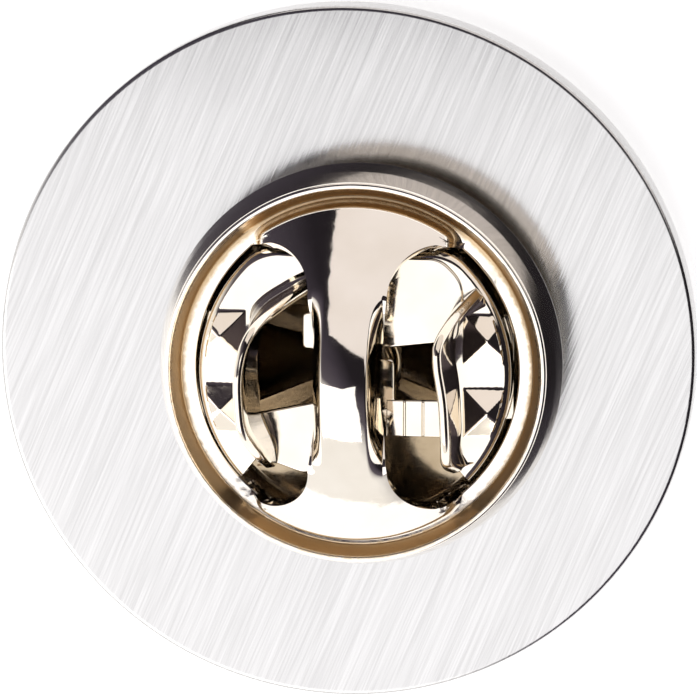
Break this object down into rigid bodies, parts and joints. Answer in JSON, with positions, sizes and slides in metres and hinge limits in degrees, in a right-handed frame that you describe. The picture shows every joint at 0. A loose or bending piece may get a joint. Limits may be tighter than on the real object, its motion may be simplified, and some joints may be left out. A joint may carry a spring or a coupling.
{
  "type": "tie tack",
  "caption": "Plain round brushed metal tie tack with a nail post on its back and a butterfly clutch whose wings pinch to open its jaws.",
  "frame": {"origin": "centre of the badge disc's front face, on the surface that the face lies on", "axes": "+Z from the front face along the post towards the clutch; +Y along the clutch's bridge; the wings pinch along X"},
  "size_m": [0.02, 0.02, 0.0091],
  "materials": {
    "brushed_plate": "straight brushed grain, satin",
    "solder": "dull satin solder",
    "post_metal": "nickel plated, satin",
    "nickel_plate": "bright nickel plate, slightly warm",
    "spring_metal": "bright nickel plated spring brass"
  },
  "bodies": {
    "badge": {"badge_disc": "brushed_plate", "solder_bead": "solder", "pin_post": "post_metal"},
    "clutch": {"clutch_base": "nickel_plate", "spring_strap": "spring_metal", "clutch_cap": "nickel_plate"},
    "right_jaw": {"right_wing": "spring_metal"},
    "left_jaw": {"left_wing": "spring_metal"}
  },
  "joints": [
    {"name": "clutch_slide", "type": "slide", "parent": "badge", "child": "clutch", "axis": [0, 0, 1], "range_m": [0, 0.0075]},
    {"name": "right_wing_pinch", "type": "hinge", "parent": "clutch", "child": "right_jaw", "pos_m": [0.0046, 0.00015, 0.00388], "axis": [0, -1, 0], "range_deg": [0, 8], "stiffness_Nm_per_rad": 0.0008},
    {"name": "left_wing_pinch", "type": "hinge", "parent": "clutch", "child": "left_jaw", "pos_m": [-0.0032, 0.00015, 0.00388], "axis": [0, 1, 0], "range_deg": [0, 8], "stiffness_Nm_per_rad": 0.0008}
  ],
  "couplings": [
    {"joint": "left_wing_pinch", "follows": "right_wing_pinch", "ratio": 1}
  ]
}
